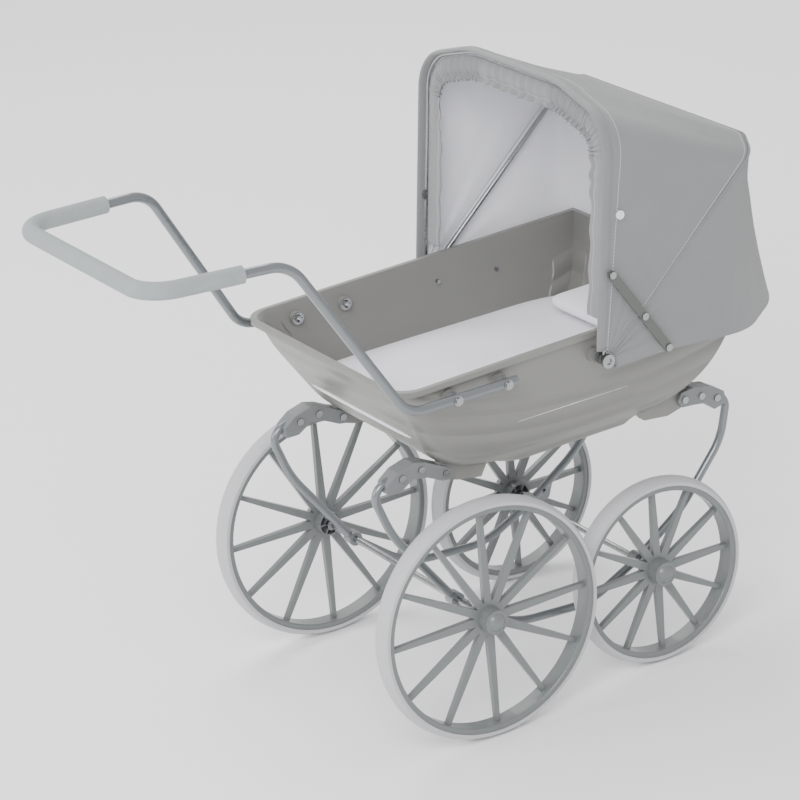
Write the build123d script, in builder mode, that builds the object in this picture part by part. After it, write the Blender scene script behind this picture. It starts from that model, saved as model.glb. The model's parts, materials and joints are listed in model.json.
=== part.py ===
from build123d import *
import math
import os

# Toy doll's pram, in millimetres. X runs from the handle to the hood, Y to the left of
# the person pushing it, Z up. The origin is on the floor under the middle of the outline.
# Places along X are measured from the rear axle and moved by px().

# Driving sizes
rear_axle_x = -63.721
wheel_base = 264.0
rear_wheel_radius = 152.0
front_wheel_radius = 120.0
rear_wheel_y = 190.0
front_wheel_y = 160.0
tub_floor_height = 300.0
tub_handle_end = -85.0
tub_hood_end = 402.0
tub_half_width = 180.0
tub_wall = 3.5
rim_height = 456.0
rim_rise = 11.0
handle_height = 652.0
handle_reach = -376.0
handle_half_width = 155.0
hood_pivot_x = 185.0
hood_pivot_height = 430.0
front_bow_reach = 310.0
middle_bow_reach = 314.0
base_bow_reach = 322.0

# Clearances
running_gap = 0.05
seat_gap = 0.3

# Wheels
tyre_width = 27.0
tyre_depth = 9.0
tyre_shoulder = 5.0
rim_width = 24.0
rim_depth = 7.0
rim_round = 2.0
hub_slot_width = 1.6
hub_radius = 16.0
hub_length = 34.0
hub_recess = 9.0
spoke_count = 12
spoke_root = 11.0
spoke_tip = 5.5
spoke_depth = 7.0
cap_ring_radius = 15.0
cap_radius = 11.5
cap_ring_depth = 3.0
cap_dome_height = 6.0
axle_radius = 4.0
axle_stub = 2.0
collar_radius = 7.0
collar_length = 5.0

# Chassis and its arms
chassis_y = 118.0
chassis_bar_radius = 5.2
axle_boss_radius = 9.0
axle_boss_length = 16.0
arm_width = 22.0
lug_width = 12.0
bolt_radius = 2.5
bolt_head_radius = 4.5
bolt_head_depth = 2.2

# Handle
handle_y = 193.0
handle_tube_radius = 6.0
handle_tube_wall = 1.2
handle_seat_height = 437.0
handle_bolt_x = (-19.0, 50.0)
handle_end_x = 64.0
grip_radius = 10.5
grip_end_share = 0.33
spacer_radius = 6.5
pad_radius = 9.0
nut_radius = 5.0
nut_depth = 3.6
nut_dome_depth = 3.2

# Hood
bow_radius = 3.0
middle_bow_y = 191.0
front_bow_y = 197.5
front_angle = 83.3
middle_angle = 41.7
base_angle = -4.4
fabric_y = 200.8
fabric_thickness = 2.5
fabric_lift = 2.6
fabric_overhang = 0.4
eye_radius = 7.0
eye_half = 2.8
link_width = 11.0
link_thickness = 2.3
lower_link_y = 204.0
stay_on_bow = 106.0
stay_anchor = 87.0
lower_link_length = 59.0
valance_depth = 30.0
valance_thickness = 6.0
valance_start = 46.0

# Bedding
pad_gap = 0.8
pad_underside = 352.0
pad_top = 386.0
pillow_length = 84.0
pillow_half_width = 80.0
pillow_height = 28.0
pillow_x = 330.0
pillow_corner = 14.0
pillow_edge = 9.0


def px(x):
    """X measured from the rear axle, moved to the part's own origin."""
    return x + rear_axle_x


def placed(outline):
    return [(px(x), z) for x, z in outline]


def send(builder, label):
    builder.part.label = label
    export_step(builder.part, "parts/" + label + ".step")


def tube_along(points, radii, radius, wall=0.0, mode=Mode.ADD):
    """A round tube or bar along straight runs joined by arcs, inside a part builder."""
    with BuildLine() as route:
        FilletPolyline(*points, radius=radii)
    start = Plane(origin=route.line @ 0, z_dir=route.line % 0)
    with BuildSketch(start) as ring:
        Circle(radius)
        if wall:
            Circle(radius - wall, mode=Mode.SUBTRACT)
    sweep(sections=ring.sketch, path=route.line, mode=mode)


def pin_along_y(x, z, y_from, y_to, radius, mode=Mode.ADD):
    """A cylinder along Y between two places, inside a part builder."""
    low = min(y_from, y_to)
    with BuildSketch(Plane(origin=(px(x), low, z), x_dir=(1, 0, 0), z_dir=(0, 1, 0))) as disc:
        Circle(radius)
    extrude(disc.sketch, amount=abs(y_to - y_from), mode=mode)


def plate_along_y(outline, y_middle, width, corner=0.0, mode=Mode.ADD):
    """A plate with an outline in X and Z, centred on a value of Y."""
    with BuildSketch(Plane(origin=(0, y_middle, 0), x_dir=(1, 0, 0), z_dir=(0, -1, 0))) as face:
        with BuildLine():
            Polyline(*placed(outline), close=True)
        make_face()
        if corner:
            fillet(face.vertices(), radius=corner)
    extrude(face.sketch, amount=width / 2, both=True, mode=mode)


def fold_plane(angle):
    """A plane through the hood's pivot line, X away from the pivot and Y across the pram."""
    turn = math.radians(angle)
    return Plane(origin=(px(hood_pivot_x), 0, hood_pivot_height),
                 x_dir=(math.cos(turn), 0, math.sin(turn)),
                 z_dir=(-math.sin(turn), 0, math.cos(turn)))


def on_fold(angle, reach):
    """Place in X (from the rear axle) and Z of a point on a bow."""
    turn = math.radians(angle)
    return hood_pivot_x + reach * math.cos(turn), hood_pivot_height + reach * math.sin(turn)


os.makedirs("parts", exist_ok=True)
rivet_x, rivet_z = on_fold(front_angle, stay_on_bow)
anchor_x, anchor_z = on_fold(base_angle, stay_anchor)

# ---------------------------------------------------------------- wheels and axles


def build_wheel(name, axle_x, track, radius, side):
    """Tyre, wheel and hub cap of one corner; side is 1 on the left and -1 on the right."""
    axis = Axis((px(axle_x), 0, radius), (0, 1, 0))
    across = Plane(origin=(px(axle_x), side * track, radius), x_dir=(0, side, 0), z_dir=(1, 0, 0))
    flat = Plane(origin=(px(axle_x), side * track, radius), x_dir=(1, 0, 0), z_dir=(0, side, 0))
    seat = radius - tyre_depth
    rim_inner = seat - rim_depth
    half_tyre = tyre_width / 2

    with BuildPart() as tyre:
        with BuildSketch(across):
            with BuildLine():
                crown = ThreePointArc((-half_tyre, radius - tyre_shoulder), (0, radius),
                                      (half_tyre, radius - tyre_shoulder))
                Polyline(crown @ 1, (half_tyre, seat), (-half_tyre, seat), crown @ 0)
            make_face()
        revolve(axis=axis)
    send(tyre, "tyre_" + name)

    with BuildPart() as wheel:
        with BuildSketch(across) as rim_section:
            with Locations((0, (seat + rim_inner) / 2)):
                Rectangle(rim_width, rim_depth)
            inner_corners = rim_section.vertices().sort_by(Axis.Y)[:2]
            fillet(inner_corners, radius=rim_round)
        revolve(axis=axis)
        with BuildSketch(flat):
            with PolarLocations(0, spoke_count):
                Polygon((hub_radius - 3, spoke_root / 2), (hub_radius - 3, -spoke_root / 2),
                        (rim_inner + 1, -spoke_tip / 2), (rim_inner + 1, spoke_tip / 2), align=None)
        extrude(amount=spoke_depth / 2, both=True)
        with BuildSketch(flat):
            Circle(hub_radius)
        extrude(amount=hub_length / 2, both=True)
        with BuildSketch(flat.offset(-hub_length / 2)):
            Circle(hub_radius - 2)
            Circle(axle_radius + 3, mode=Mode.SUBTRACT)
            with PolarLocations(0, spoke_count // 2):
                Rectangle(2 * hub_radius, hub_slot_width, mode=Mode.SUBTRACT)
        extrude(amount=hub_recess, mode=Mode.SUBTRACT)
        with BuildSketch(flat):
            Circle(axle_radius + running_gap)
        extrude(amount=hub_length, both=True, mode=Mode.SUBTRACT)
    send(wheel, "wheel_" + name)

    base = hub_length / 2
    room = axle_stub + seat_gap
    dome_radius = (cap_radius ** 2 + cap_dome_height ** 2) / (2 * cap_dome_height)
    half_way = math.sqrt(dome_radius ** 2 - (cap_radius / 2) ** 2) - dome_radius + cap_dome_height
    face = base + cap_ring_depth
    with BuildPart() as cap:
        with BuildSketch(across):
            with BuildLine():
                dome = ThreePointArc((face, cap_radius), (face + half_way, cap_radius / 2),
                                     (face + cap_dome_height, 0))
                Polyline(dome @ 1, (base + room, 0), (base + room, axle_radius + seat_gap),
                         (base, axle_radius + seat_gap), (base, cap_ring_radius),
                         (face, cap_ring_radius), dome @ 0)
            make_face()
        revolve(axis=axis)
    send(cap, "hub_cap_" + name)


def build_axle(name, axle_x, track, radius):
    """A plain axle with a collar inside each wheel's hub."""
    end = track + hub_length / 2 + axle_stub
    collar_outer = track - hub_length / 2 - seat_gap
    with BuildPart() as axle:
        pin_along_y(axle_x, radius, -end, end, axle_radius)
        for side in (-1, 1):
            pin_along_y(axle_x, radius, side * (collar_outer - collar_length),
                        side * collar_outer, collar_radius)
    send(axle, "axle_" + name)


corners = (
    ("rear_left", 0.0, rear_wheel_y, rear_wheel_radius, 1),
    ("rear_right", 0.0, rear_wheel_y, rear_wheel_radius, -1),
    ("front_left", wheel_base, front_wheel_y, front_wheel_radius, 1),
    ("front_right", wheel_base, front_wheel_y, front_wheel_radius, -1),
)
for corner in corners:
    build_wheel(*corner)
build_axle("rear", 0.0, rear_wheel_y, rear_wheel_radius)
build_axle("front", wheel_base, front_wheel_y, front_wheel_radius)

# ---------------------------------------------------------------- tub

# Rows of height over the floor, handle end, hood end and half width, for a rim of drawn_half_width
drawn_half_width = 180.0
tub_rows = (
    (0.0, 118.0, 250.0, 104.0),
    (9.0, 56.0, 272.0, 122.0),
    (22.0, 12.0, 306.0, 135.0),
    (42.0, -18.0, 344.0, 147.0),
    (68.0, -36.0, 370.0, 156.0),
    (98.0, -54.0, 386.0, 165.0),
    (128.0, -70.0, 395.0, 173.0),
)
rim_tilt = math.atan2(rim_rise, tub_hood_end - tub_handle_end)
rim_middle_x = (tub_handle_end + tub_hood_end) / 2
rim_middle_height = rim_height + rim_rise / 2
handle_end_corner = 28.0
hood_end_corner = 48.0
bead_out = 3.0
bead_height = 7.0
outer_pad_y = tub_half_width + 1.0
inner_pad_y = tub_half_width - 14.0
boss_root_y = tub_half_width - 30.0
hole_reach = 5.0

rear_lug = ((-10, 312), (14, 304), (48, 298), (60, 318), (30, 342), (0, 340), (-10, 328))
front_lug = ((353, 304), (320, 296), (285, 300), (270, 318), (300, 345), (335, 354), (353, 320))
rear_bolts = ((-3.0, 319.0), (-36.0, 333.0), (-63.0, 330.0))
front_bolts = ((343.0, 312.0), (368.0, 310.0), (391.0, 301.0))


def rim_plane(drop=0.0):
    """The plane of the rim, or one below it."""
    lean = (-math.sin(rim_tilt), 0, math.cos(rim_tilt))
    return Plane(
        origin=(px(rim_middle_x) - lean[0] * drop, 0, rim_middle_height - lean[2] * drop),
        x_dir=(math.cos(rim_tilt), 0, math.sin(rim_tilt)),
        z_dir=lean,
    )


def tub_outline(plane, length, half_width, handle_corner=handle_end_corner, hood_corner=hood_end_corner):
    """A closed outline with small corners at the handle and large ones at the hood."""
    with BuildSketch(plane, mode=Mode.PRIVATE) as outline:
        Rectangle(length, 2 * half_width)
        ends = outline.vertices().sort_by(Axis.X)
        fillet(ends[:2], radius=handle_corner)
        fillet(ends[2:], radius=hood_corner)
    return outline.sketch


def tub_sections(inset):
    """Outlines from the floor to the rim, moved in and up by the wall for the hollow."""
    faces = []
    for up, handle_end, hood_end, half_width in tub_rows:
        width = half_width * tub_half_width / drawn_half_width
        plane = Plane(origin=(px((handle_end + hood_end) / 2), 0, tub_floor_height + up + inset))
        faces.append(tub_outline(plane, hood_end - handle_end - 2 * inset, width - inset))
    length = tub_hood_end - tub_handle_end
    faces.append(tub_outline(rim_plane(), length - 2 * inset, tub_half_width - inset))
    return faces


with BuildPart() as tub_hollow:
    loft(sections=tub_sections(tub_wall))

with BuildPart() as tub:
    loft(sections=tub_sections(0.0))
    for side in (-1, 1):
        plate_along_y(rear_lug, side * chassis_y, lug_width)
        plate_along_y(front_lug, side * chassis_y, lug_width)
        for bolt_x in handle_bolt_x:
            pin_along_y(bolt_x, handle_seat_height, side * boss_root_y,
                        side * outer_pad_y, pad_radius)
        pin_along_y(hood_pivot_x, hood_pivot_height, side * boss_root_y,
                    side * outer_pad_y, pad_radius)
        pin_along_y(anchor_x, anchor_z, side * boss_root_y, side * outer_pad_y, eye_radius)
    length = tub_hood_end - tub_handle_end
    with BuildSketch(rim_plane(bead_height)):
        add(tub_outline(Plane.XY, length + 2 * bead_out, tub_half_width + bead_out,
                        handle_end_corner + bead_out, hood_end_corner + bead_out))
    extrude(amount=bead_height)
    add(tub_hollow.part, mode=Mode.SUBTRACT)
    for side in (-1, 1):
        for bolt_x in handle_bolt_x:
            pin_along_y(bolt_x, handle_seat_height, side * inner_pad_y,
                        side * (tub_half_width - 6), pad_radius)
            pin_along_y(bolt_x, handle_seat_height, side * (inner_pad_y - hole_reach),
                        side * (outer_pad_y + hole_reach), bolt_radius + running_gap, Mode.SUBTRACT)
        for hole_x, hole_z in ((hood_pivot_x, hood_pivot_height), (anchor_x, anchor_z)):
            pin_along_y(hole_x, hole_z, side * (boss_root_y - hole_reach),
                        side * (outer_pad_y + hole_reach), bolt_radius + running_gap, Mode.SUBTRACT)
        for hole_x, hole_z in (rear_bolts[0], front_bolts[0]):
            pin_along_y(hole_x, hole_z, side * (chassis_y - arm_width), side * (chassis_y + arm_width),
                        bolt_radius + running_gap, Mode.SUBTRACT)
send(tub, "tub")

# ---------------------------------------------------------------- chassis

chassis_path = ((-58, 333), (-100, 320), (-78, 258), (0, 151), (75, 92), (190, 84),
                (264, 119), (335, 166), (400, 240), (413, 292), (386, 303))
chassis_bends = (17, 150, 150, 120, 110, 200, 150, 80, 16)
gusset = ((256, 118), (303, 150), (292, 118), (262, 108))
rear_arm = ((8, 319), (0, 326), (-14, 333), (-30, 341), (-46, 345), (-68, 339), (-84, 327),
            (-84, 314), (-66, 314), (-48, 325), (-28, 321), (-8, 311), (4, 310))
front_arm = ((333, 312), (339, 322), (358, 324), (382, 319), (402, 307), (405, 291), (386, 287),
             (374, 299), (352, 302), (338, 303))
gusset_thickness = 4.0
gusset_hole = (283.0, 130.0)
gusset_hole_radius = 3.0
rear_slot = ((-12, 300), (20, 300), (20, 345), (-12, 345))
front_slot = ((320, 290), (355, 290), (355, 335), (320, 335))


def chassis_route(y):
    return [(px(x), y, z) for x, z in chassis_path]


def build_chassis(name, side):
    """One bent side bar with its two axle bosses and the small front gusset plate."""
    y = side * chassis_y
    half_boss = axle_boss_length / 2
    with BuildPart() as chassis:
        tube_along(chassis_route(y), chassis_bends, chassis_bar_radius)
        plate_along_y(gusset, y, gusset_thickness, corner=2.5)
        for x, z in ((0.0, rear_wheel_radius), (wheel_base, front_wheel_radius)):
            pin_along_y(x, z, y - half_boss, y + half_boss, axle_boss_radius)
            pin_along_y(x, z, y - arm_width, y + arm_width, axle_radius + running_gap, Mode.SUBTRACT)
        pin_along_y(*gusset_hole, y - 10, y + 10, gusset_hole_radius, Mode.SUBTRACT)
        for x, z in (rear_bolts[2], front_bolts[2]):
            pin_along_y(x, z, y - 10, y + 10, bolt_radius + running_gap, Mode.SUBTRACT)
    send(chassis, "chassis_" + name)


def build_arm(name, outline, slot, bolts, side):
    """A moulded arm that holds the tube's end and forks round the tub's lug."""
    y = side * chassis_y
    with BuildPart() as arm:
        plate_along_y(outline, y, arm_width, corner=3.0)
        plate_along_y(slot, y, lug_width + 2 * seat_gap, mode=Mode.SUBTRACT)
        tube_along(chassis_route(y), chassis_bends, chassis_bar_radius + running_gap,
                   mode=Mode.SUBTRACT)
        for x, z in bolts:
            pin_along_y(x, z, y - arm_width, y + arm_width, bolt_radius + running_gap, Mode.SUBTRACT)
    send(arm, "arm_" + name)


def build_bolts(name, side):
    """The three bolts of each arm on one side, with heads on both faces."""
    y = side * chassis_y
    with BuildPart() as bolts:
        for x, z in rear_bolts + front_bolts:
            half = arm_width / 2
            pin_along_y(x, z, y - half, y + half, bolt_radius)
            pin_along_y(x, z, y + half, y + half + bolt_head_depth, bolt_head_radius)
            pin_along_y(x, z, y - half - bolt_head_depth, y - half, bolt_head_radius)
    send(bolts, "arm_bolts_" + name)


for side_name, side in (("left", 1), ("right", -1)):
    build_chassis(side_name, side)
    build_arm("rear_" + side_name, rear_arm, rear_slot, rear_bolts, side)
    build_arm("front_" + side_name, front_arm, front_slot, front_bolts, side)
    build_bolts(side_name, side)

# ---------------------------------------------------------------- handle

crest_x = -203.0
crest_y = 168.0
crest_height = handle_height - 6
foot_bend_x = -84.0


def handle_half(side):
    return [
        (px(handle_end_x), side * handle_y, handle_seat_height),
        (px(foot_bend_x), side * handle_y, handle_seat_height),
        (px(crest_x), side * crest_y, crest_height),
        (px(handle_reach), side * handle_half_width, handle_height),
    ]


handle_route = handle_half(-1) + handle_half(1)[::-1]
handle_bends = (38, 45, 42, 42, 45, 38)
grip_start = [
    crest + (reach - crest) * grip_end_share
    for crest, reach in zip(handle_half(1)[2], handle_half(1)[3])
]
grip_route = [
    (grip_start[0], -grip_start[1], grip_start[2]),
    handle_half(-1)[3],
    handle_half(1)[3],
    tuple(grip_start),
]
tube_inner_y = handle_y - handle_tube_radius
tube_outer_y = handle_y + handle_tube_radius
washer_thickness = 1.2

with BuildPart() as handle_tube:
    tube_along(handle_route, handle_bends, handle_tube_radius, handle_tube_wall)
    for side in (-1, 1):
        for bolt_x in handle_bolt_x:
            pin_along_y(bolt_x, handle_seat_height, side * (handle_y - 10), side * (handle_y + 10),
                        bolt_radius + running_gap, Mode.SUBTRACT)
send(handle_tube, "handle_tube")

with BuildPart() as grip:
    tube_along(grip_route, handle_bends[2:4], grip_radius,
               grip_radius - handle_tube_radius - running_gap)
send(grip, "handle_grip")

with BuildPart() as plugs:
    for side in (-1, 1):
        end = Plane(origin=(px(handle_end_x), side * handle_y, handle_seat_height), z_dir=(1, 0, 0))
        with BuildSketch(end):
            Circle(handle_tube_radius)
        extrude(amount=2.5)
        with BuildSketch(end):
            Circle(handle_tube_radius - handle_tube_wall - running_gap)
        extrude(amount=-6)
send(plugs, "handle_plugs")

with BuildPart() as spacers:
    for side in (-1, 1):
        for bolt_x in handle_bolt_x:
            pin_along_y(bolt_x, handle_seat_height, side * outer_pad_y,
                        side * (tube_inner_y + 1.5), spacer_radius)
            pin_along_y(bolt_x, handle_seat_height, side * outer_pad_y,
                        side * handle_y, bolt_radius + running_gap, Mode.SUBTRACT)
        tube_along(handle_half(side)[:3], (handle_bends[0],),
                   handle_tube_radius + running_gap, mode=Mode.SUBTRACT)
send(spacers, "handle_spacers")

with BuildPart() as handle_bolts:
    for side in (-1, 1):
        for bolt_x in handle_bolt_x:
            head = tube_outer_y + washer_thickness
            pin_along_y(bolt_x, handle_seat_height, side * (inner_pad_y - 4), side * tube_outer_y,
                        bolt_radius)
            pin_along_y(bolt_x, handle_seat_height, side * tube_outer_y, side * head,
                        bolt_head_radius + 1.5)
            pin_along_y(bolt_x, handle_seat_height, side * head,
                        side * (head + bolt_head_depth), bolt_head_radius)
send(handle_bolts, "handle_bolts")

with BuildPart() as nuts:
    for side in (-1, 1):
        for bolt_x in handle_bolt_x:
            seat = Plane(origin=(px(bolt_x), side * inner_pad_y, handle_seat_height),
                         x_dir=(1, 0, 0), z_dir=(0, -side, 0))
            with BuildSketch(seat):
                Circle(nut_radius + 2.5)
            extrude(amount=washer_thickness)
            with BuildSketch(seat.offset(washer_thickness)):
                RegularPolygon(nut_radius, 6)
            extrude(amount=nut_depth)
            with BuildSketch(seat.offset(washer_thickness + nut_depth)):
                Circle(nut_radius - 0.8)
            extrude(amount=nut_dome_depth, taper=28)
            with BuildSketch(seat):
                Circle(bolt_radius + running_gap)
            extrude(amount=4 + seat_gap, mode=Mode.SUBTRACT)
send(nuts, "handle_nuts")

# ---------------------------------------------------------------- hood

# Reach at the crown, reach at the shoulder, half width of the flat crown
front_bow_shape = (front_bow_reach, front_bow_reach - 27.0, 95.0)
middle_bow_shape = (middle_bow_reach, middle_bow_reach - 17.0, 170.0)
base_bow_shape = (base_bow_reach, base_bow_reach - 117.0, 100.0)
front_bends = (54.0, 140.0, 140.0, 54.0)
middle_bends = (25.0, 30.0, 30.0, 25.0)
base_bends = (90.0, 140.0, 140.0, 90.0)
valance_bends = (30.0, 110.0, 110.0, 30.0)
bow_start = 4.5
fabric_start = 12.0
base_bow_start = 80.0


def bow_points(shape, half_width, start, grow=0.0):
    """Corners of an arch as distance from the pivot and Y; grow moves its crown out."""
    reach, shoulder, crown = shape
    near = [(start, -half_width), (shoulder + 0.6 * grow, -half_width), (reach + grow, -crown)]
    return near + [(r, -y) for r, y in reversed(near)]


def bow_route(shape, angle, half_width, start):
    plane = fold_plane(angle)
    return [plane.from_local_coords((r, y, 0)) for r, y in bow_points(shape, half_width, start)]


def band(shape, bends, angle, half_width, start, thickness, lift):
    """A thin arched outline round a bow, as a face in the bow's plane."""
    outer_lift = lift + thickness
    with BuildSketch(fold_plane(angle), mode=Mode.PRIVATE) as outline:
        with BuildLine():
            outer = FilletPolyline(*bow_points(shape, half_width + thickness, start, outer_lift),
                                   radius=[bend + thickness for bend in bends])
            inner = FilletPolyline(*bow_points(shape, half_width, start, lift), radius=bends)
            Line(outer @ 0, inner @ 0)
            Line(outer @ 1, inner @ 1)
        make_face()
    return outline.sketch


def build_bow(name, shape, bends, angle, half_width, start, eyes):
    """A wire bow with eyes for its pins; eyes are distances from the pivot."""
    with BuildPart() as bow:
        tube_along(bow_route(shape, angle, half_width, start), bends, bow_radius)
        for side in (-1, 1):
            for reach in eyes:
                x, z = on_fold(angle, reach)
                pin_along_y(x, z, side * (half_width - eye_half), side * (half_width + eye_half),
                            eye_radius)
                pin_along_y(x, z, side * (half_width - 10), side * (half_width + 10),
                            bolt_radius + running_gap, Mode.SUBTRACT)
    send(bow, name)


build_bow("front_bow", front_bow_shape, front_bends, front_angle, front_bow_y, bow_start,
          (0.0, stay_on_bow))
build_bow("middle_bow", middle_bow_shape, middle_bends, middle_angle, middle_bow_y, bow_start,
          (0.0,))
build_bow("base_bow", base_bow_shape, base_bends, base_angle, middle_bow_y, base_bow_start,
          (stay_anchor,))

lift = bow_radius + fabric_lift
seam = 0.1
spacer_groove = 0.8
rivet_head_depth = 1.8
outer_fabric_y = fabric_y + fabric_thickness

with BuildPart() as hood_roof:
    loft(sections=[
        band(front_bow_shape, front_bends, front_angle + fabric_overhang, fabric_y,
             fabric_start, fabric_thickness, lift),
        band(middle_bow_shape, middle_bends, middle_angle + seam, fabric_y,
             fabric_start, fabric_thickness, lift),
    ], ruled=True)
    pin_along_y(rivet_x, rivet_z, -2 * fabric_y, 2 * fabric_y, bolt_head_radius, Mode.SUBTRACT)
send(hood_roof, "hood_roof")

with BuildPart() as hood_back:
    loft(sections=[
        band(middle_bow_shape, middle_bends, middle_angle - seam, fabric_y,
             fabric_start, fabric_thickness, lift),
        band(base_bow_shape, base_bends, base_angle - fabric_overhang, fabric_y,
             fabric_start, fabric_thickness, lift),
    ], ruled=True)
    pin_along_y(anchor_x, anchor_z, -2 * fabric_y, 2 * fabric_y, bolt_head_radius, Mode.SUBTRACT)
send(hood_back, "hood_back")

with BuildPart() as valance:
    inside = bow_radius + seat_gap + valance_depth
    ring = band(front_bow_shape, valance_bends, front_angle, front_bow_y - inside,
                valance_start, valance_depth, -inside)
    extrude(ring, amount=valance_thickness / 2, both=True)
send(valance, "hood_valance")

with BuildPart() as pivots:
    for side in (-1, 1):
        head = outer_fabric_y + seat_gap
        pin_along_y(hood_pivot_x, hood_pivot_height, side * (inner_pad_y - 2), side * head,
                    bolt_radius)
        pin_along_y(hood_pivot_x, hood_pivot_height, side * head, side * (head + 4), eye_radius + 1.5)
        pin_along_y(hood_pivot_x, hood_pivot_height, side * (head + 2), side * (head + 5), 4.0,
                    Mode.SUBTRACT)
send(pivots, "hood_pivots")

with BuildPart() as pivot_spacers:
    stack = middle_bow_y - bow_radius - seat_gap - outer_pad_y
    for side in (-1, 1):
        for step in range(3):
            low = outer_pad_y + stack * step / 3
            high = low + stack / 3
            pin_along_y(hood_pivot_x, hood_pivot_height, side * low, side * (high - spacer_groove),
                        eye_radius)
            pin_along_y(hood_pivot_x, hood_pivot_height, side * (high - spacer_groove),
                        side * high, eye_radius - 1.5)
        pin_along_y(hood_pivot_x, hood_pivot_height, side * (outer_pad_y - 5), side * fabric_y,
                    bolt_radius + running_gap, Mode.SUBTRACT)
send(pivot_spacers, "hood_pivot_spacers")

# ---------------------------------------------------------------- hood stays

upper_link_y = lower_link_y + link_thickness + seat_gap
elbow_share = lower_link_length / math.dist((anchor_x, anchor_z), (rivet_x, rivet_z))
elbow_x = anchor_x + (rivet_x - anchor_x) * elbow_share
elbow_z = anchor_z + (rivet_z - anchor_z) * elbow_share


def build_link(name, start, finish, y, side, hole_at_finish):
    """A flat link with round ends between two places in X and Z."""
    length = math.dist(start, finish)
    turn = math.atan2(finish[1] - start[1], finish[0] - start[0])
    middle = ((start[0] + finish[0]) / 2, (start[1] + finish[1]) / 2)
    low = y if side > 0 else -y - link_thickness
    plane = Plane(origin=(px(middle[0]), low + link_thickness, middle[1]),
                  x_dir=(math.cos(turn), 0, math.sin(turn)), z_dir=(0, -1, 0))
    with BuildPart() as link:
        with BuildSketch(plane):
            SlotCenterToCenter(length, link_width)
        extrude(amount=link_thickness)
        pin_along_y(start[0], start[1], side * (y - 3), side * (y + 6), bolt_radius + running_gap,
                    Mode.SUBTRACT)
        if hole_at_finish:
            pin_along_y(finish[0], finish[1], side * (y - 3), side * (y + 6),
                        bolt_radius + running_gap, Mode.SUBTRACT)
    send(link, name)


def build_stay(name, side):
    anchor = (anchor_x, anchor_z)
    elbow = (elbow_x, elbow_z)
    rivet = (rivet_x, rivet_z)
    build_link("stay_lower_" + name, anchor, elbow, lower_link_y, side, False)
    build_link("stay_upper_" + name, rivet, elbow, upper_link_y, side, True)
    outer = upper_link_y + link_thickness
    with BuildPart() as elbow_rivet:
        pin_along_y(elbow_x, elbow_z, side * upper_link_y, side * outer, bolt_radius)
        pin_along_y(elbow_x, elbow_z, side * outer, side * (outer + rivet_head_depth), bolt_head_radius)
    send(elbow_rivet, "stay_elbow_" + name)


for side_name, side in (("left", 1), ("right", -1)):
    build_stay(side_name, side)

with BuildPart() as bow_rivets:
    outer = upper_link_y + link_thickness + seat_gap
    for side in (-1, 1):
        pin_along_y(rivet_x, rivet_z, side * (front_bow_y - bow_radius), side * outer, bolt_radius)
        pin_along_y(rivet_x, rivet_z, side * outer, side * (outer + rivet_head_depth), bolt_head_radius)
send(bow_rivets, "stay_bow_rivets")

with BuildPart() as anchors:
    outer = lower_link_y + link_thickness + running_gap
    for side in (-1, 1):
        pin_along_y(anchor_x, anchor_z, side * (inner_pad_y - 2), side * outer, bolt_radius)
        pin_along_y(anchor_x, anchor_z, side * outer, side * (outer + rivet_head_depth), bolt_head_radius)
        pin_along_y(anchor_x, anchor_z, side * outer_pad_y, side * (middle_bow_y - bow_radius - 0.1),
                    eye_radius - 1)
send(anchors, "stay_anchors")

# ---------------------------------------------------------------- bedding


def tub_inside(height):
    """Handle end, hood end and half width of the tub's hollow at a height, by straight lines."""
    rim_row = (rim_height - tub_floor_height, tub_handle_end, tub_hood_end, drawn_half_width)
    rows = list(tub_rows) + [rim_row]
    up = height - tub_floor_height - tub_wall
    for low, high in zip(rows, rows[1:]):
        if low[0] <= up <= high[0]:
            share = (up - low[0]) / (high[0] - low[0])
            handle_end, hood_end, half = (a + (b - a) * share for a, b in zip(low[1:], high[1:]))
    wall = tub_wall + pad_gap
    return handle_end + wall, hood_end - wall, half * tub_half_width / drawn_half_width - wall


def bedding_outline(height):
    handle_end, hood_end, half_width = tub_inside(height)
    plane = Plane(origin=(px((handle_end + hood_end) / 2), 0, height))
    return tub_outline(plane, hood_end - handle_end, half_width, handle_end_corner - 2,
                       hood_end_corner - 4)


with BuildPart() as pad:
    loft(sections=[bedding_outline(pad_underside), bedding_outline(pad_top)], ruled=True)
send(pad, "mattress_pad")

with BuildPart() as pillow:
    with BuildSketch(Plane(origin=(px(pillow_x), 0, pad_top + seat_gap))):
        RectangleRounded(pillow_length, 2 * pillow_half_width, pillow_corner)
    extrude(amount=pillow_height)
    fillet(pillow.edges().group_by(Axis.Z)[-1], radius=pillow_edge)
send(pillow, "pillow")
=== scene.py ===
import bmesh
import bpy
import json
import math
import numpy as np
from mathutils import Matrix, Vector


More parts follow.
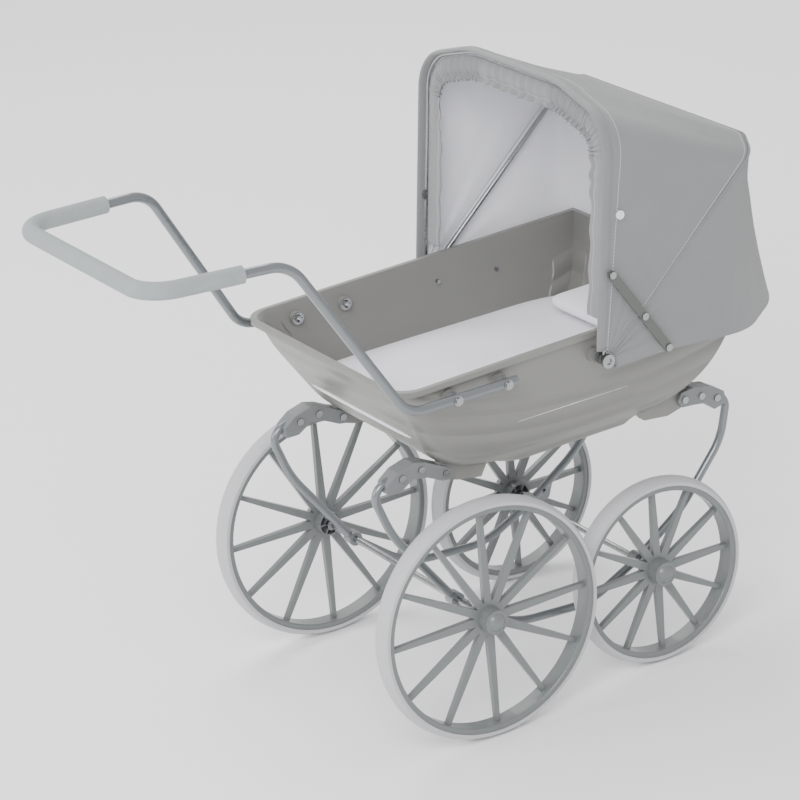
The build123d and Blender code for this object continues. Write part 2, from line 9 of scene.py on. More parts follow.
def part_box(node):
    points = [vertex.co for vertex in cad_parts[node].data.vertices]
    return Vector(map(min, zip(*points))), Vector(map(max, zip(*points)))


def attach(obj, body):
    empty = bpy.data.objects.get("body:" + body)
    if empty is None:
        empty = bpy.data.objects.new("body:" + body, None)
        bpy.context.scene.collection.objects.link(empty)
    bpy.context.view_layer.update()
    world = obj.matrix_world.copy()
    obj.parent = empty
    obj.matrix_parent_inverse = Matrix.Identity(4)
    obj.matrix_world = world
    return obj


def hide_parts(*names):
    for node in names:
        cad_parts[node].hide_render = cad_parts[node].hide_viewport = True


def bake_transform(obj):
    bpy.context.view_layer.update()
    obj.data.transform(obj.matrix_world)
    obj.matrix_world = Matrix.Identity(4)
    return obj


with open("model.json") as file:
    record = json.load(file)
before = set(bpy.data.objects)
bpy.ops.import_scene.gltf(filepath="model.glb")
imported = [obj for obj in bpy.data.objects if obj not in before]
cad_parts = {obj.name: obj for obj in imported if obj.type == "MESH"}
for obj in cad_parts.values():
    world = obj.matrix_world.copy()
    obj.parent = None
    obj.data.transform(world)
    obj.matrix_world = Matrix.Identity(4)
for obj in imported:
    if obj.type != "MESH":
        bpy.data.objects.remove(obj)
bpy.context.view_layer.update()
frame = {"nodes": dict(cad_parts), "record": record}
nodes = frame["nodes"]
print("stage: frame loaded")


class Wire:
    # one shader output that can be added, multiplied and compared as a number

    def __init__(self, shade, socket):
        self.shade = shade
        self.socket = socket

    def __add__(self, other):
        return self.shade.math("ADD", self, other)

    def __sub__(self, other):
        return self.shade.math("SUBTRACT", self, other)

    def __mul__(self, other):
        return self.shade.math("MULTIPLY", self, other)

    def __pow__(self, other):
        return self.shade.math("POWER", self, other)

    def __radd__(self, other):
        return self.shade.math("ADD", other, self)

    def __rsub__(self, other):
        return self.shade.math("SUBTRACT", other, self)

    def __rmul__(self, other):
        return self.shade.math("MULTIPLY", other, self)


class Shade:
    # a material whose colours and heights are written as Python sums

    def __init__(self, name):
        self.material = bpy.data.materials.new(name)
        self.material.use_nodes = True
        self.tree = self.material.node_tree
        self.surface = self.tree.nodes["Principled BSDF"]
        place = self.tree.nodes.new("ShaderNodeTexCoord")
        self.object = Wire(self, place.outputs["Object"])
        self.uv = Wire(self, place.outputs["UV"])

    def link(self, socket, value):
        if isinstance(value, Wire):
            self.tree.links.new(value.socket, socket)
        elif isinstance(value, (tuple, list)) and len(value) == 3 and socket.type == "RGBA":
            socket.default_value = (*value, 1.0)
        else:
            socket.default_value = value

    def node(self, kind, inputs, output=0, **settings):
        made = self.tree.nodes.new("ShaderNode" + kind)
        for key, value in settings.items():
            setattr(made, key, value)
        for key, value in inputs.items():
            self.link(made.inputs[key], value)
        return Wire(self, made.outputs[output])

    def math(self, operation, a, b=0.0):
        return self.node("Math", {0: a, 1: b}, operation=operation)

    def sin(self, a):
        return self.math("SINE", a)

    def absolute(self, a):
        return self.math("ABSOLUTE", a)

    def step(self, a, low, high):
        return self.node("MapRange", {0: a, 1: low, 2: high}, interpolation_type="SMOOTHSTEP")

    def ramp(self, a, knots, values):
        # straight lines between a list of knots, flat beyond the ends
        total = 0.0
        for low, high, start, end in zip(knots, knots[1:], values, values[1:]):
            total = total + self.node("MapRange", {0: a, 1: low, 2: high, 3: 0.0, 4: end - start})
        return total + values[0]

    def split(self, vector):
        made = self.tree.nodes.new("ShaderNodeSeparateXYZ")
        self.link(made.inputs[0], vector)
        return [Wire(self, out) for out in made.outputs]

    def noise(self, scale, detail=3.0, vector=None):
        inputs = {"Vector": vector or self.object, "Scale": scale, "Detail": detail}
        return self.node("TexNoise", inputs)

    def mix(self, share, a, b):
        made = self.tree.nodes.new("ShaderNodeMix")
        made.data_type = "RGBA"
        self.link(made.inputs[0], share)
        self.link(made.inputs[6], a)
        self.link(made.inputs[7], b)
        return Wire(self, made.outputs[2])

    def bump(self, height, distance, strength=1.0):
        inputs = {"Height": height, "Distance": distance, "Strength": strength}
        self.link(self.surface.inputs["Normal"], self.node("Bump", inputs))

    def set(self, **values):
        for key, value in values.items():
            self.link(self.surface.inputs[key.replace("_", " ")], value)
        return self


def tinted(colour, factor):
    return tuple(min(1.0, c * factor) for c in colour)


def mouldedPlastic(name, colour, roughness, grain=0.00004, coat=0.0):
    shade = Shade(name)
    cloud = shade.noise(9.0, 2.0)
    fine = shade.noise(1400.0, 2.0)
    shade.set(Base_Color=shade.mix(cloud, tinted(colour, 0.94), tinted(colour, 1.05)))
    shade.set(Roughness=roughness - 0.06 + 0.12 * shade.noise(40.0), Coat_Weight=coat)
    shade.bump(fine, grain)
    return shade.material


# The tub's outline at six heights: height, middle and half of its length, half width
tubRows = ((0.322, 0.0953, 0.147, 0.135), (0.342, 0.0993, 0.181, 0.147), (0.368, 0.1033, 0.203, 0.156),
           (0.398, 0.1023, 0.220, 0.165), (0.428, 0.0988, 0.2325, 0.173), (0.461, 0.0948, 0.2435, 0.180))
# The flutes: skin is how deep under the outline they end, bow and bowX the creases' parabola,
# fadeIn and fadeOut the heights between which they start and stop
flutes = {"corner": 0.048, "skin": (-0.0026, -0.0014), "bow": 0.75, "bowX": 0.138, "first": 0.318,
          "pitch": 0.0265, "round": 0.015, "fadeIn": (0.300, 0.318), "fadeOut": (0.388, 0.406),
          "depth": 0.0024}


def tubPlastic():
    # satin grey plastic; the outside carries raised flutes between three curved creases
    shade = Shade("tubPlastic")
    x, y, z = shade.split(shade.object)
    heights = [row[0] for row in tubRows]
    middle, halfLength, halfWidth = (shade.ramp(z, heights, [row[k] for row in tubRows])
                                     for k in (1, 2, 3))
    corner = flutes["corner"]
    outX = shade.math("MAXIMUM", shade.absolute(x - middle) - halfLength + corner, 0.0)
    outY = shade.math("MAXIMUM", shade.absolute(y) - halfWidth + corner, 0.0)
    # distance from the outline, negative inside it
    away = (outX * outX + outY * outY) ** 0.5 - corner
    outside = shade.step(away, *flutes["skin"])
    # the creases follow a parabola along the tub
    rise = z - flutes["bow"] * (x - flutes["bowX"]) * (x - flutes["bowX"])
    wave = shade.sin((rise - flutes["first"]) * (math.pi / flutes["pitch"]))
    flute = (wave * wave + flutes["round"]) ** 0.5
    band = shade.step(rise, *flutes["fadeIn"]) * (1.0 - shade.step(rise, *flutes["fadeOut"]))
    colour = (0.185, 0.184, 0.172)
    cloud = shade.noise(6.0, 3.0)
    shade.set(Base_Color=shade.mix(cloud, tinted(colour, 0.95), tinted(colour, 1.06)))
    shade.set(Roughness=0.33 + 0.1 * shade.noise(25.0), Coat_Weight=0.12, Coat_Roughness=0.2)
    shade.bump(flutes["depth"] * flute * band * outside + 0.00004 * shade.noise(900.0), 1.0)
    return shade.material


def paintedTube(name, colour, metallic=0.55):
    shade = Shade(name)
    flake = shade.noise(2600.0, 1.0)
    shade.set(Base_Color=shade.mix(flake, tinted(colour, 0.9), tinted(colour, 1.12)))
    shade.set(Metallic=metallic, Roughness=0.25 + 0.08 * shade.noise(30.0), Coat_Weight=0.5,
              Coat_Roughness=0.12)
    shade.bump(shade.noise(500.0, 2.0), 0.00003)
    return shade.material


def brightSteel():
    shade = Shade("brightSteel")
    shade.set(Base_Color=(0.34, 0.35, 0.355), Metallic=1.0, Roughness=0.2 + 0.12 * shade.noise(300.0))
    return shade.material


def tyreRubber():
    shade = Shade("tyreRubber")
    dust = shade.noise(14.0, 4.0)
    shade.set(Base_Color=shade.mix(dust, (0.42, 0.42, 0.44), (0.47, 0.47, 0.49)))
    shade.set(Roughness=0.5 + 0.15 * shade.noise(60.0), Specular_IOR_Level=0.4)
    shade.bump(shade.noise(700.0, 3.0), 0.00008)
    return shade.material


def gripFoam():
    # closed-cell foam: small pits over a matt skin
    shade = Shade("gripFoam")
    pits = shade.node("TexVoronoi", {"Vector": shade.object, "Scale": 900.0})
    shade.set(Base_Color=shade.mix(shade.noise(50.0, 4.0), (0.25, 0.28, 0.285), (0.31, 0.34, 0.345)))
    shade.set(Roughness=0.86, Specular_IOR_Level=0.25, Sheen_Weight=0.12)
    shade.bump(pits + 0.6 * shade.noise(1500.0), 0.0003, 0.7)
    return shade.material


def wovenCloth(name, light, dark, pitch, bump, sheen=0.35, slub=0.12):
    # plain weave on the piece's own UV map, which is in metres: warp and weft take turns
    shade = Shade(name)
    u, v = shade.split(shade.uv)[:2]
    turn = 2 * math.pi / pitch
    warp = shade.sin(u * turn)
    weft = shade.sin(v * turn)
    over = shade.sin(u * (turn / 2)) * shade.sin(v * (turn / 2))
    weave = warp * warp * shade.step(over, -0.3, 0.3) + weft * weft * (1.0 - shade.step(over, -0.3, 0.3))
    cloud = shade.noise(22.0, 4.0)
    thread = shade.noise(900.0, 2.0)
    share = 0.5 * cloud + slub * thread + 0.25 * weave
    shade.set(Base_Color=shade.mix(share, dark, light), Roughness=0.78 + 0.1 * cloud)
    shade.set(Sheen_Weight=sheen, Sheen_Roughness=0.45, Specular_IOR_Level=0.3)
    shade.bump(weave + 0.8 * thread + 1.2 * cloud, bump)
    return shade.material


finishes = {
    "tub_plastic": tubPlastic(),
    "wheel_plastic": mouldedPlastic("wheelPlastic", (0.145, 0.157, 0.158), 0.34, coat=0.2),
    "painted_tube": paintedTube("paintedTube", (0.17, 0.185, 0.195)),
    "trim_plastic": mouldedPlastic("trimPlastic", (0.165, 0.175, 0.18), 0.42, 0.00012),
    "grip_foam": gripFoam(),
    "tyre_rubber": tyreRubber(),
    "bright_steel": brightSteel(),
    "stay_steel": paintedTube("staySteel", (0.085, 0.092, 0.085), 0.35),
    "hood_cloth": wovenCloth("hoodCloth", (0.265, 0.268, 0.275), (0.20, 0.203, 0.21), 0.0011, 0.00016),
    "bedding_cloth": wovenCloth("beddingCloth", (0.93, 0.92, 0.975), (0.86, 0.85, 0.92), 0.0009, 0.0001),
}
liningCloth = wovenCloth("liningCloth", (0.90, 0.90, 0.94), (0.83, 0.83, 0.88), 0.0008, 0.00008)
threadCloth = mouldedPlastic("threadCloth", (0.66, 0.67, 0.69), 0.7)
buttonPlastic = mouldedPlastic("buttonPlastic", (0.78, 0.78, 0.80), 0.3)

slotOf = {part["node"]: part["material_slot"] for part in frame["record"]["subparts"]}
for name, obj in nodes.items():
    material = finishes[slotOf[name]]
    if not obj.data.materials:
        obj.data.materials.append(material)
    for index in range(len(obj.data.materials)):
        obj.data.materials[index] = material
print("stage: CAD nodes dressed")


def faceOutward(mesh):
    shell = bmesh.new()
    shell.from_mesh(mesh)
    bmesh.ops.recalc_face_normals(shell, faces=shell.faces)
    shell.to_mesh(mesh)
    shell.free()


def build(name, points, faces, materials, body=None, uv=None, smooth=True, closed=False):
    # points (n, 3), faces as lists of point numbers, one UV pair per point; a blended sheet has no body
    mesh = bpy.data.meshes.new(name)
    mesh.from_pydata(points.tolist(), [], faces)
    if uv is not None:
        layer = mesh.uv_layers.new(name="weave")
        corner = np.zeros(len(mesh.loops), np.int32)
        mesh.loops.foreach_get("vertex_index", corner)
        layer.data.foreach_set("uv", uv[corner].astype(np.float32).ravel())
    if smooth:
        mesh.polygons.foreach_set("use_smooth", np.ones(len(mesh.polygons), bool))
    for material in materials:
        mesh.materials.append(material)
    obj = bpy.data.objects.new(name, mesh)
    bpy.context.collection.objects.link(obj)
    if closed:
        faceOutward(mesh)
    if body:
        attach(obj, body)
    return obj


def gridFaces(rows, columns, wrapColumns=False):
    # quads of a grid whose point number is row * columns + column
    r, c = np.meshgrid(np.arange(rows - 1), np.arange(columns - (not wrapColumns)), indexing="ij")
    nextC = (c + 1) % columns
    quads = [r * columns + c, (r + 1) * columns + c, (r + 1) * columns + nextC, r * columns + nextC]
    return np.stack(quads, -1).reshape(-1, 4).tolist()


def lengths(grid, axis):
    # running distance along one direction of a grid of points
    hop = np.linalg.norm(np.diff(grid, axis=axis), axis=-1)
    start = np.zeros_like(np.take(hop, [0], axis=axis))
    return np.concatenate([start, np.cumsum(hop, axis=axis)], axis=axis)


def gridUv(grid):
    # u and v are metres along the sheet, so that the weave keeps its pitch
    return np.stack([lengths(grid, 1).mean(0)[None, :] + 0 * grid[..., 0],
                     lengths(grid, 0)], -1).reshape(-1, 2)


def gridNormals(grid):
    across = np.gradient(grid, axis=1)
    down = np.gradient(grid, axis=0)
    normal = np.cross(across, down)
    normal = normal / np.maximum(np.linalg.norm(normal, axis=-1, keepdims=True), 1e-9)
    # outward is away from the grid's own middle
    return normal * np.sign(((grid - grid.mean((0, 1))) * normal).sum(-1).mean())


def thicken(obj, wall, lining=False):
    # the wall grows outward; with a lining the second side takes the second material
    solid = obj.modifiers.new("wall", "SOLIDIFY")
    solid.thickness = wall
    solid.offset = 1.0
    if lining:
        solid.material_offset = 1
        solid.material_offset_rim = 0


# The hood's arches: distances from the pivot line, half widths and bend radii in metres, degrees
pivot = Vector(next(joint["pos_m"] for joint in frame["record"]["behaviour"]["joints"]
                    if joint["name"] == "hood_fold"))
frontArch = {"reach": 0.310, "shoulder": 0.283, "crown": 0.095, "angle": 83.3,
             "bends": (0.054, 0.14, 0.14, 0.054)}
middleArch = {"reach": 0.314, "shoulder": 0.297, "crown": 0.170, "angle": 41.7,
              "bends": (0.025, 0.03, 0.03, 0.025)}
baseArch = {"reach": 0.322, "shoulder": 0.205, "crown": 0.100, "angle": -4.4,
            "bends": (0.09, 0.14, 0.14, 0.09)}
# The cloth runs outside the bows: grow is added to the reach, and 0.6 of it to the shoulder
cloth = {"halfWidth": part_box("hood_roof")[1].y - 0.0025, "start": 0.012, "grow": 0.0056,
         "shoulderShare": 0.6, "perCorner": 14, "perRun": 26, "wall": 0.0014}


def roundedPath(corners, radii, perCorner, perRun):
    # straight runs joined by arcs: the turn's half angle t sets the setback r tan(t)
    corners = [np.array(c, float) for c in corners]
    path = []
    cursor = corners[0]
    for before, corner, after, radius in zip(corners, corners[1:], corners[2:], radii):
        into = (corner - before) / np.linalg.norm(corner - before)
        out = (after - corner) / np.linalg.norm(after - corner)
        half = math.acos(max(-1.0, min(1.0, float(into @ out)))) / 2
        setback = radius * math.tan(half)
        enter, leave = corner - into * setback, corner + out * setback
        share = np.linspace(0, 1, perRun, endpoint=False)[:, None]
        path.append(cursor + (enter - cursor) * share)
        # the arc as a rational curve with the middle weight cos(t)
        s = np.linspace(0, 1, perCorner, endpoint=False)[:, None]
        weight = math.cos(half)
        top = (1 - s) ** 2 * enter + 2 * s * (1 - s) * weight * corner + s ** 2 * leave
        path.append(top / ((1 - s) ** 2 + 2 * s * (1 - s) * weight + s ** 2))
        cursor = leave
    share = np.linspace(0, 1, perRun)[:, None]
    path.append(cursor + (corners[-1] - cursor) * share)
    return np.concatenate(path)


def archPath(start, halfWidth, shoulder, reach, crown, bends, perCorner, perRun):
    # from the near foot over the crown to the far foot, as rows of reach and Y
    near = [(start, -halfWidth), (shoulder, -halfWidth), (reach, -crown)]
    return roundedPath(near + [(r, -y) for r, y in reversed(near)], bends, perCorner, perRun)


def archPoints(arch, wider=0.0, start=cloth["start"]):
    grow = cloth["grow"] + wider
    return archPath(start, cloth["halfWidth"] + wider, arch["shoulder"] + cloth["shoulderShare"] * grow,
                    arch["reach"] + grow, arch["crown"], arch["bends"], cloth["perCorner"],
                    cloth["perRun"])


def foldAxes(arch):
    # unit vectors away from the pivot line and along the fold's turn
    turn = math.radians(arch["angle"])
    along = np.array([math.cos(turn), 0, math.sin(turn)])
    return along, np.array([-math.sin(turn), 0, math.cos(turn)])


def onFold(flat, arch, ahead=0.0):
    along, normal = foldAxes(arch)
    place = np.array(pivot) + flat[..., :1] * along + ahead * normal
    place[..., 1] = flat[..., 1]
    return place


def foldPlace(angle, reach, y=0.0):
    turn = math.radians(angle)
    return pivot + Vector((reach * math.cos(turn), y, reach * math.sin(turn)))


def smoothNoise(shape, cells, seed):
    # soft random waves between -1 and 1 on a grid, from a coarse table
    rng = np.random.default_rng(seed)
    coarse = rng.uniform(-1, 1, (cells[0] + 2, cells[1] + 2))
    r = np.linspace(0, cells[0], shape[0])
    c = np.linspace(0, cells[1], shape[1])
    ri, ci = np.minimum(r.astype(int), cells[0]), np.minimum(c.astype(int), cells[1])
    fr, fc = (r - ri)[:, None], (c - ci)[None, :]
    fr, fc = fr * fr * (3 - 2 * fr), fc * fc * (3 - 2 * fc)
    a, b = coarse[ri][:, ci], coarse[ri][:, ci + 1]
    d, e = coarse[ri + 1][:, ci], coarse[ri + 1][:, ci + 1]
    return (a * (1 - fc) + b * fc) * (1 - fr) + (d * (1 - fc) + e * fc) * fr


roofSheet = {"rows": 34, "sag": 0.0035, "seed": 3}
backSheet = {"rows": 44, "sag": 0.006, "seed": 8}
# The hem hangs below the base bow, deepest at the pivot
hem = {"rows": 8, "least": 0.003, "extra": 0.008, "fade": 0.06}
creases = {"depth": 0.0011, "cells": (5, 14), "fade": 0.12, "pulls": 7, "phase": 0.6, "sagReach": 0.2}


def panel(archA, archB, sheet):
    # a ruled sheet between two arches, drawn in between them, with soft pulls from the pivot
    a = onFold(archPoints(archA), archA)
    b = onFold(archPoints(archB), archB)
    share = np.linspace(0, 1, sheet["rows"])[:, None, None]
    grid = a[None] * (1 - share) + b[None] * share
    belly = 4 * share * (1 - share)
    reach = np.linalg.norm(grid[..., [0, 2]] - np.array(pivot)[[0, 2]], axis=-1)[..., None]
    pull = np.exp(-reach / creases["fade"]) * np.sin(share * math.pi * creases["pulls"] + creases["phase"])
    waves = smoothNoise(grid.shape[:2], creases["cells"], sheet["seed"])[..., None]
    wobble = creases["depth"] * belly * waves + creases["depth"] * pull * belly
    sunk = sheet["sag"] * belly * np.clip(reach / creases["sagReach"], 0, 1)
    return grid + gridNormals(grid) * (wobble - sunk)


def withHem(grid):
    rows = np.linspace(0, 1, hem["rows"])[1:, None, None]
    foot = grid[-1:]
    drop = hem["least"] + hem["extra"] * np.exp(-((foot[..., :1] - pivot.x) / hem["fade"]) ** 2)
    return np.concatenate([grid, foot - np.array([0, 0, 1.0]) * drop * rows])


# A place under the hood that every sheet faces away from
hoodMiddle = np.array([pivot.x + 0.12, 0, pivot.z + 0.1])


def clothSheet(name, node, grid, wall, lining, body=None):
    piece = build(name, grid.reshape(-1, 3), gridFaces(*grid.shape[:2]),
                  [finishes["hood_cloth"], liningCloth], body, gridUv(grid))
    mesh = piece.data
    normals = np.zeros(len(mesh.polygons) * 3)
    centres = np.zeros(len(mesh.polygons) * 3)
    mesh.polygons.foreach_get("normal", normals)
    mesh.polygons.foreach_get("center", centres)
    facing = ((centres.reshape(-1, 3) - hoodMiddle) * normals.reshape(-1, 3)).sum(1)
    if np.median(facing) < 0:
        mesh.flip_normals()
    thicken(piece, wall, lining)
    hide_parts(node)
    return piece


roofGrid = panel(frontArch, middleArch, roofSheet)
backGrid = withHem(panel(middleArch, baseArch, backSheet))
roof = clothSheet("hoodRoof", "hood_roof", roofGrid, cloth["wall"], True)
back = clothSheet("hoodBack", "hood_back", backGrid, cloth["wall"], True)
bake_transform(roof)
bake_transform(back)
print("stage: hood panels made")


def tubeAlong(path, across, thick, normal, sides):
    # rings round a path: thick is the radius along the fixed normal, across the one beside it
    tangent = np.gradient(path, axis=0)
    tangent /= np.linalg.norm(tangent, axis=1, keepdims=True)
    beside = np.cross(tangent, normal)
    beside /= np.linalg.norm(beside, axis=1, keepdims=True)
    turn = np.linspace(0, 2 * math.pi, sides, endpoint=False)
    return path[:, None] + (np.cos(turn)[None, :, None] * beside[:, None] * across
                            + np.sin(turn)[None, :, None] * normal * thick)


def closedTube(name, grid, material, body, uv=None):
    # each end is closed by a point in the middle of its ring
    rows, columns = grid.shape[:2]
    points = np.concatenate([grid.reshape(-1, 3), grid[:1].mean(1), grid[-1:].mean(1)])
    first, last, foot = rows * columns, rows * columns + 1, (rows - 1) * columns
    faces = gridFaces(rows, columns, wrapColumns=True)
    faces += [[c, (c + 1) % columns, first] for c in range(columns)]
    faces += [[foot + (c + 1) % columns, foot + c, last] for c in range(columns)]
    if uv is None:
        girth = 0.04
        along = lengths(grid, 0)
        uv = np.stack([np.linspace(0, girth, columns)[None] + 0 * along, along], -1).reshape(-1, 2)
        uv = np.concatenate([uv, [[0, 0]], [[0, 1]]])
    return build(name, points, faces, [material], body, uv, closed=True)


# The sleeve lies over the front bow, a little ahead of it and inside the cloth's edge
sleeve = {"wider": -0.0015, "ahead": 0.004, "across": 0.0030, "thick": 0.0085, "sides": 14}
seam = {"wider": 0.0014, "start": 0.014, "across": 0.0013, "thick": 0.0016, "sides": 10}
hemRoll = {"lift": 0.0006, "across": 0.0014, "thick": 0.0022, "sides": 10}


def clothTube(name, path, size, normal, body):
    grid = tubeAlong(path, size["across"], size["thick"], normal, size["sides"])
    closedTube(name, grid, finishes["hood_cloth"], body)


clothTube("hoodSleeve", onFold(archPoints(frontArch, sleeve["wider"]), frontArch, sleeve["ahead"]),
          sleeve, foldAxes(frontArch)[1], "hood_front")
clothTube("hoodSeam", onFold(archPoints(middleArch, seam["wider"], seam["start"]), middleArch),
          seam, foldAxes(middleArch)[1], "hood_middle")
clothTube("hoodHem", backGrid[-1] + np.array([0, 0, hemRoll["lift"]]), hemRoll,
          np.array([0, 0, 1.0]), "pram")

valanceArch = {"start": 0.046, "halfWidth": 0.1915, "shoulder": 0.279, "reach": 0.3055, "crown": 0.095,
               "bends": (0.055, 0.14, 0.14, 0.055), "perCorner": 150, "perRun": 150}
# Rows go from the bow at 0 to the frill's edge at 1; the elastic line is at 0.76
strip = {"rows": [0, 0.1, 0.25, 0.42, 0.58, 0.7, 0.76, 0.8, 0.84, 0.9, 1.0], "elasticRow": 6,
         "depth": 0.029, "depthWave": 0.0015, "puff": 0.0045, "ripple": 0.0017, "wall": 0.0008,
         "puffAt": ([0, 0.25, 0.55, 0.76, 0.84, 1.0], [0.0, 0.7, 1.0, 0.15, 0.15, 1.0]),
         "rippleAt": ([0, 0.4, 0.7, 0.8, 1.0], [0.25, 0.7, 1.0, 0.7, 1.6]),
         "gathers": 74, "uneven": (0.75, 1.3), "seed": 11, "legs": 0.12, "legTop": 0.17, "legFade": 0.06,
         "middle": (0.12, 0)}


def gatheredStrip():
    # puffed cloth, an elastic line and a small frill inside the front arch
    rows = np.array(strip["rows"])
    arch = archPath(**valanceArch)
    run = lengths(arch, 0)
    tangent = np.gradient(arch, run, axis=0)
    tangent /= np.linalg.norm(tangent, axis=1, keepdims=True)
    inward = np.stack([-tangent[:, 1], tangent[:, 0]], 1)
    inward *= np.sign(((np.array(strip["middle"]) - arch) * inward).sum(1))[:, None]
    # gathers fade out down the straight legs
    overTop = np.clip((arch[:, 0] - strip["legTop"]) / strip["legFade"], 0, 1)
    gather = strip["legs"] + (1 - strip["legs"]) * overTop * overTop * (3 - 2 * overTop)
    rng = np.random.default_rng(strip["seed"])
    drift = np.cumsum(rng.uniform(*strip["uneven"], len(run)))
    phase = 2 * math.pi * strip["gathers"] * drift / drift[-1]
    # tall makes some gathers higher than others
    tall = 0.75 + 0.25 * np.sin(phase * 0.31 + 1.0)
    puff = np.interp(rows, *strip["puffAt"])
    ripple = np.interp(rows, *strip["rippleAt"])
    depth = strip["depth"] + strip["depthWave"] * np.sin(phase * 0.5)
    flat = arch[None] + inward[None] * (rows[:, None, None] * depth[None, :, None])
    ahead = (strip["puff"] * puff[:, None] * gather[None]
             + strip["ripple"] * ripple[:, None] * (np.sin(phase) * tall * gather)[None])
    return onFold(flat, frontArch, ahead[..., None])


valanceGrid = gatheredStrip()
valance = clothSheet("hoodValance", "hood_valance", valanceGrid, strip["wall"], False, "hood_front")

# One stitch is a thin capsule: half its length, its radius, its height over the sheet
seamThread = {"pitch": 0.0042, "half": 0.0014, "radius": 0.00035, "lift": 0.0015, "rowsIn": 2}
elasticThread = {"pitch": 0.0035, "half": 0.0011, "radius": 0.0003, "lift": 0.0009}
capsule = {"along": [-1.0, -0.6, 0.6, 1.0], "round": [0.35, 1.0, 1.0, 0.35], "sides": 6}


def stitches(name, cloth, normals, thread, body):
    path = cloth + normals * thread["lift"]
    run = lengths(path, 0)
    count = int(run[-1] / thread["pitch"])
    places = (np.arange(count) + 0.5) * thread["pitch"]
    centre, ahead, up = (np.stack([np.interp(at, run, line[:, k]) for k in range(3)], 1)
                         for at, line in ((places, path), (places + 0.3 * thread["pitch"], path),
                                          (places, normals)))
    tangent = ahead - centre
    tangent /= np.linalg.norm(tangent, axis=1, keepdims=True)
    up /= np.linalg.norm(up, axis=1, keepdims=True)
    side = np.cross(tangent, up)
    sides = capsule["sides"]
    turn = np.arange(sides) * math.pi / (sides / 2)
    along, size = (np.array(capsule[key])[None, :, None, None] for key in ("along", "round"))
    rings = (centre[:, None, None] + along * thread["half"] * tangent[:, None, None]
             + size * thread["radius"] * (np.cos(turn)[None, None, :, None] * side[:, None, None]
                                          + np.sin(turn)[None, None, :, None] * up[:, None, None]))
    ringCount = len(capsule["along"])
    each = sides * ringCount
    one = gridFaces(ringCount, sides, wrapColumns=True)
    one += [list(range(sides))[::-1], list(range(each - sides, each))]
    faces = [[v + each * k for v in face] for k in range(count) for face in one]
    build(name, rings.reshape(-1, 3), faces, [threadCloth], body,
          smooth=False, closed=True)


roofNormals = gridNormals(roofGrid)
for name, row, body in (("stitchFront", seamThread["rowsIn"], "hood_front"),
                        ("stitchMiddle", -seamThread["rowsIn"], "hood_middle")):
    stitches(name, roofGrid[row], roofNormals[row], seamThread, body)
stitches("stitchElastic", valanceGrid[strip["elasticRow"]],
         np.tile(foldAxes(frontArch)[1], (valanceGrid.shape[1], 1)), elasticThread, "hood_front")
print("stage: hood trim made")

# A press button is a low turned dome with a rim: rows of radius and height, as shares of the radius
pressButton = {"profile": [(1.0, -0.3), (1.0, 0.15), (0.92, 0.3), (0.74, 0.3), (0.66, 0.2),
                           (0.4, 0.24), (0.16, 0.27)],
               "radius": 0.0055, "reach": 0.176, "behind": 4.0, "proud": 0.0022, "sides": 28}


def button(name, side):
    centre = foldPlace(frontArch["angle"] - pressButton["behind"], pressButton["reach"],
                       side * (cloth["halfWidth"] + pressButton["proud"]))
    profile = np.array(pressButton["profile"])
    outward = np.array([0.0, side, 0.0])
    beside = np.cross(outward, [0, 0, 1.0])
    up = np.cross(beside, outward)
    turn = np.linspace(0, 2 * math.pi, pressButton["sides"], endpoint=False)
    ring = np.cos(turn)[:, None] * beside + np.sin(turn)[:, None] * up
    grid = (np.array(centre) + profile[:, None, :1] * ring[None] * pressButton["radius"]
            + profile[:, None, 1:] * outward * pressButton["radius"])
    closedTube(name, grid, buttonPlastic, "hood_front")


button("hoodButtonLeft", 1)
button("hoodButtonRight", -1)

# crown is the rise of the middle, dent the depth of the soft waves, baseShrink narrows the base
padShape = {"crown": 0.28, "dent": 0.0012, "seed": 5, "baseShrink": 0.12}
pillowShape = {"crown": 0.28, "dent": 0.0016, "seed": 9, "baseShrink": 0.0}
cushionForm = {"rows": 56, "columns": 220, "pole": 0.02, "plan": 0.28, "side": 0.55, "lift": 0.75,
               "edge": 0.72}


def cushion(name, node, shape):
    # a squared-off ball in its CAD solid's box: powers under 1 square the plan and the section
    low, high = (np.array(v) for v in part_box(node))
    centre, half = (low + high) / 2, (high - low) / 2
    polar = np.linspace(cushionForm["pole"], math.pi - cushionForm["pole"], cushionForm["rows"])
    turn = np.linspace(0, 2 * math.pi, cushionForm["columns"], endpoint=False)
    squareX, squareY = (np.sign(wave) * np.abs(wave) ** cushionForm["plan"]
                        for wave in (np.cos(turn), np.sin(turn)))
    radial = np.sin(polar) ** cushionForm["side"]
    lift = np.cos(polar)
    height = np.sign(lift) * np.abs(lift) ** cushionForm["lift"]
    narrow = 1 - shape["baseShrink"] * (height[:, None] < 0) * np.abs(height[:, None])
    x = centre[0] + half[0] * radial[:, None] * squareX[None] * narrow
    y = centre[1] + half[1] * radial[:, None] * squareY[None]
    inside = 1 - np.maximum(np.abs((x - centre[0]) / half[0]), np.abs((y - centre[1]) / half[1])) ** 3
    # crossing waves, in radians for each metre, for the soft dents
    seed = shape["seed"]
    waves = (np.sin(38 * x + seed) * np.sin(31 * y + 2 * seed) + 0.6 * np.sin(71 * x - 43 * y + seed)
             + 0.5 * np.sin(23 * x + 67 * y))
    z = (centre[2] + half[2] * height[:, None] * (cushionForm["edge"] + shape["crown"] * inside)
         + shape["dent"] * waves * inside)
    grid = np.stack([x, y, np.maximum(z, low[2])], -1)
    uv = np.stack([grid[..., 0], grid[..., 1] + 0.5 * grid[..., 2]], -1).reshape(-1, 2)
    uv = np.concatenate([uv, grid[0, :1, :2], grid[-1, :1, :2]])
    obj = closedTube(name, grid, finishes["bedding_cloth"], "pram", uv)
    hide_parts(node)


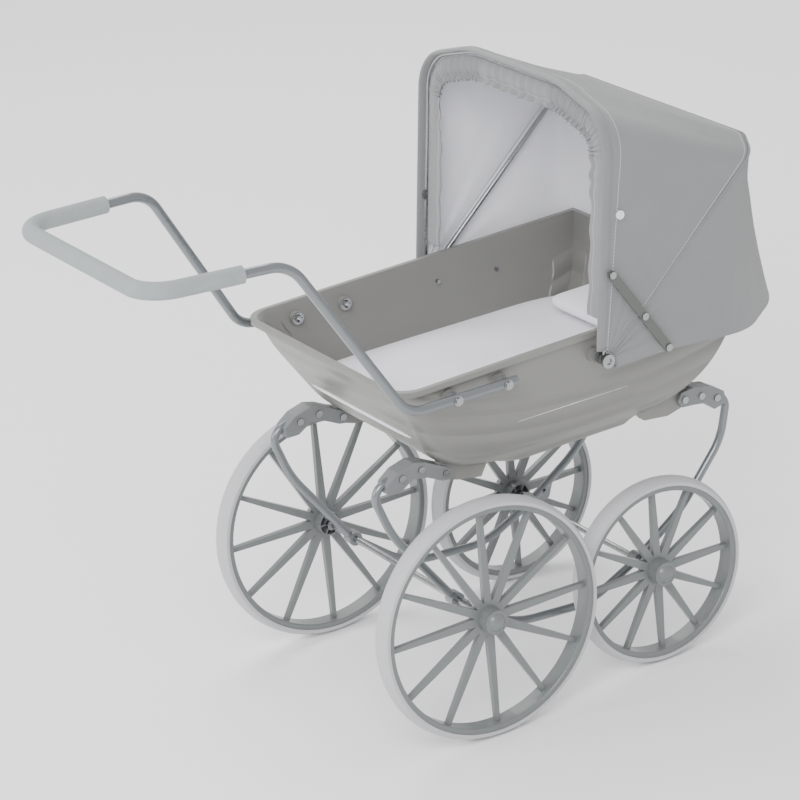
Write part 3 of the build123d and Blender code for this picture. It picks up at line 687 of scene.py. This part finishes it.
cushion("mattressPad", "mattress_pad", padShape)
cushion("pillow", "pillow", pillowShape)
print("stage: bedding made")

studio = {"floorHalf": 6.0, "paper": (0.96, 0.96, 0.96), "sky": (1.0, 1.0, 1.0, 1.0), "skyPower": 1.0,
          "aim": (0, 0, 0.35)}
# Each lamp: place, width, power
lamps = (((-2.2, -2.6, 3.0), 2.2, 150.0), ((-3.0, 0.8, 1.6), 2.0, 55.0), ((0.6, 2.4, 3.4), 2.4, 90.0))


def stageAndLight():
    size = studio["floorHalf"]
    ground = bpy.data.meshes.new("floor")
    ground.from_pydata([(-size, -size, 0), (size, -size, 0), (size, size, 0), (-size, size, 0)], [],
                       [(0, 1, 2, 3)])
    floor = bpy.data.objects.new("floor", ground)
    bpy.context.collection.objects.link(floor)
    paper = Shade("paper")
    paper.set(Base_Color=studio["paper"], Roughness=0.9, Specular_IOR_Level=0.1)
    floor.data.materials.append(paper.material)
    world = bpy.data.worlds.new("studio")
    bpy.context.scene.world = world
    world.use_nodes = True
    background = world.node_tree.nodes["Background"]
    background.inputs["Color"].default_value = studio["sky"]
    background.inputs["Strength"].default_value = studio["skyPower"]
    for index, (place, width, power) in enumerate(lamps):
        lamp = bpy.data.lights.new("lamp%d" % index, "AREA")
        lamp.shape = "SQUARE"
        lamp.size = width
        lamp.energy = power
        held = bpy.data.objects.new("lamp%d" % index, lamp)
        held.location = place
        held.rotation_mode = "QUATERNION"
        aim = Vector(studio["aim"]) - held.location
        held.rotation_quaternion = aim.to_track_quat("-Z", "Y")
        bpy.context.collection.objects.link(held)


# The photograph's own angle in degrees; its focal length is 3681 pixels in a picture 800 wide
photoView = {"azimuth": -29.88, "elevation": 22.1, "roll": -5.43, "place": (-2.0869, -3.5531, 2.0315),
             "focalPixels": 3681.0, "widthPixels": 800.0, "sensor": 36.0, "clipEnd": 50.0}


def viewpoint():
    azimuth, elevation, roll = (math.radians(photoView[key]) for key in ("azimuth", "elevation", "roll"))
    back = Vector((math.sin(azimuth) * math.cos(elevation), -math.cos(azimuth) * math.cos(elevation),
                   math.sin(elevation)))
    right = Vector((math.cos(azimuth), math.sin(azimuth), 0))
    up = back.cross(right)
    turnedRight = right * math.cos(roll) + up * math.sin(roll)
    turnedUp = up * math.cos(roll) - right * math.sin(roll)
    camera = bpy.data.cameras.new("camera")
    camera.lens = photoView["focalPixels"] * photoView["sensor"] / photoView["widthPixels"]
    camera.sensor_width = photoView["sensor"]
    camera.clip_end = photoView["clipEnd"]
    held = bpy.data.objects.new("camera", camera)
    turn = Matrix((turnedRight, turnedUp, back)).transposed()
    held.matrix_world = Matrix.Translation(photoView["place"]) @ turn.to_4x4()
    bpy.context.collection.objects.link(held)
    bpy.context.scene.camera = held


stageAndLight()
viewpoint()
print("stage: scene ready")
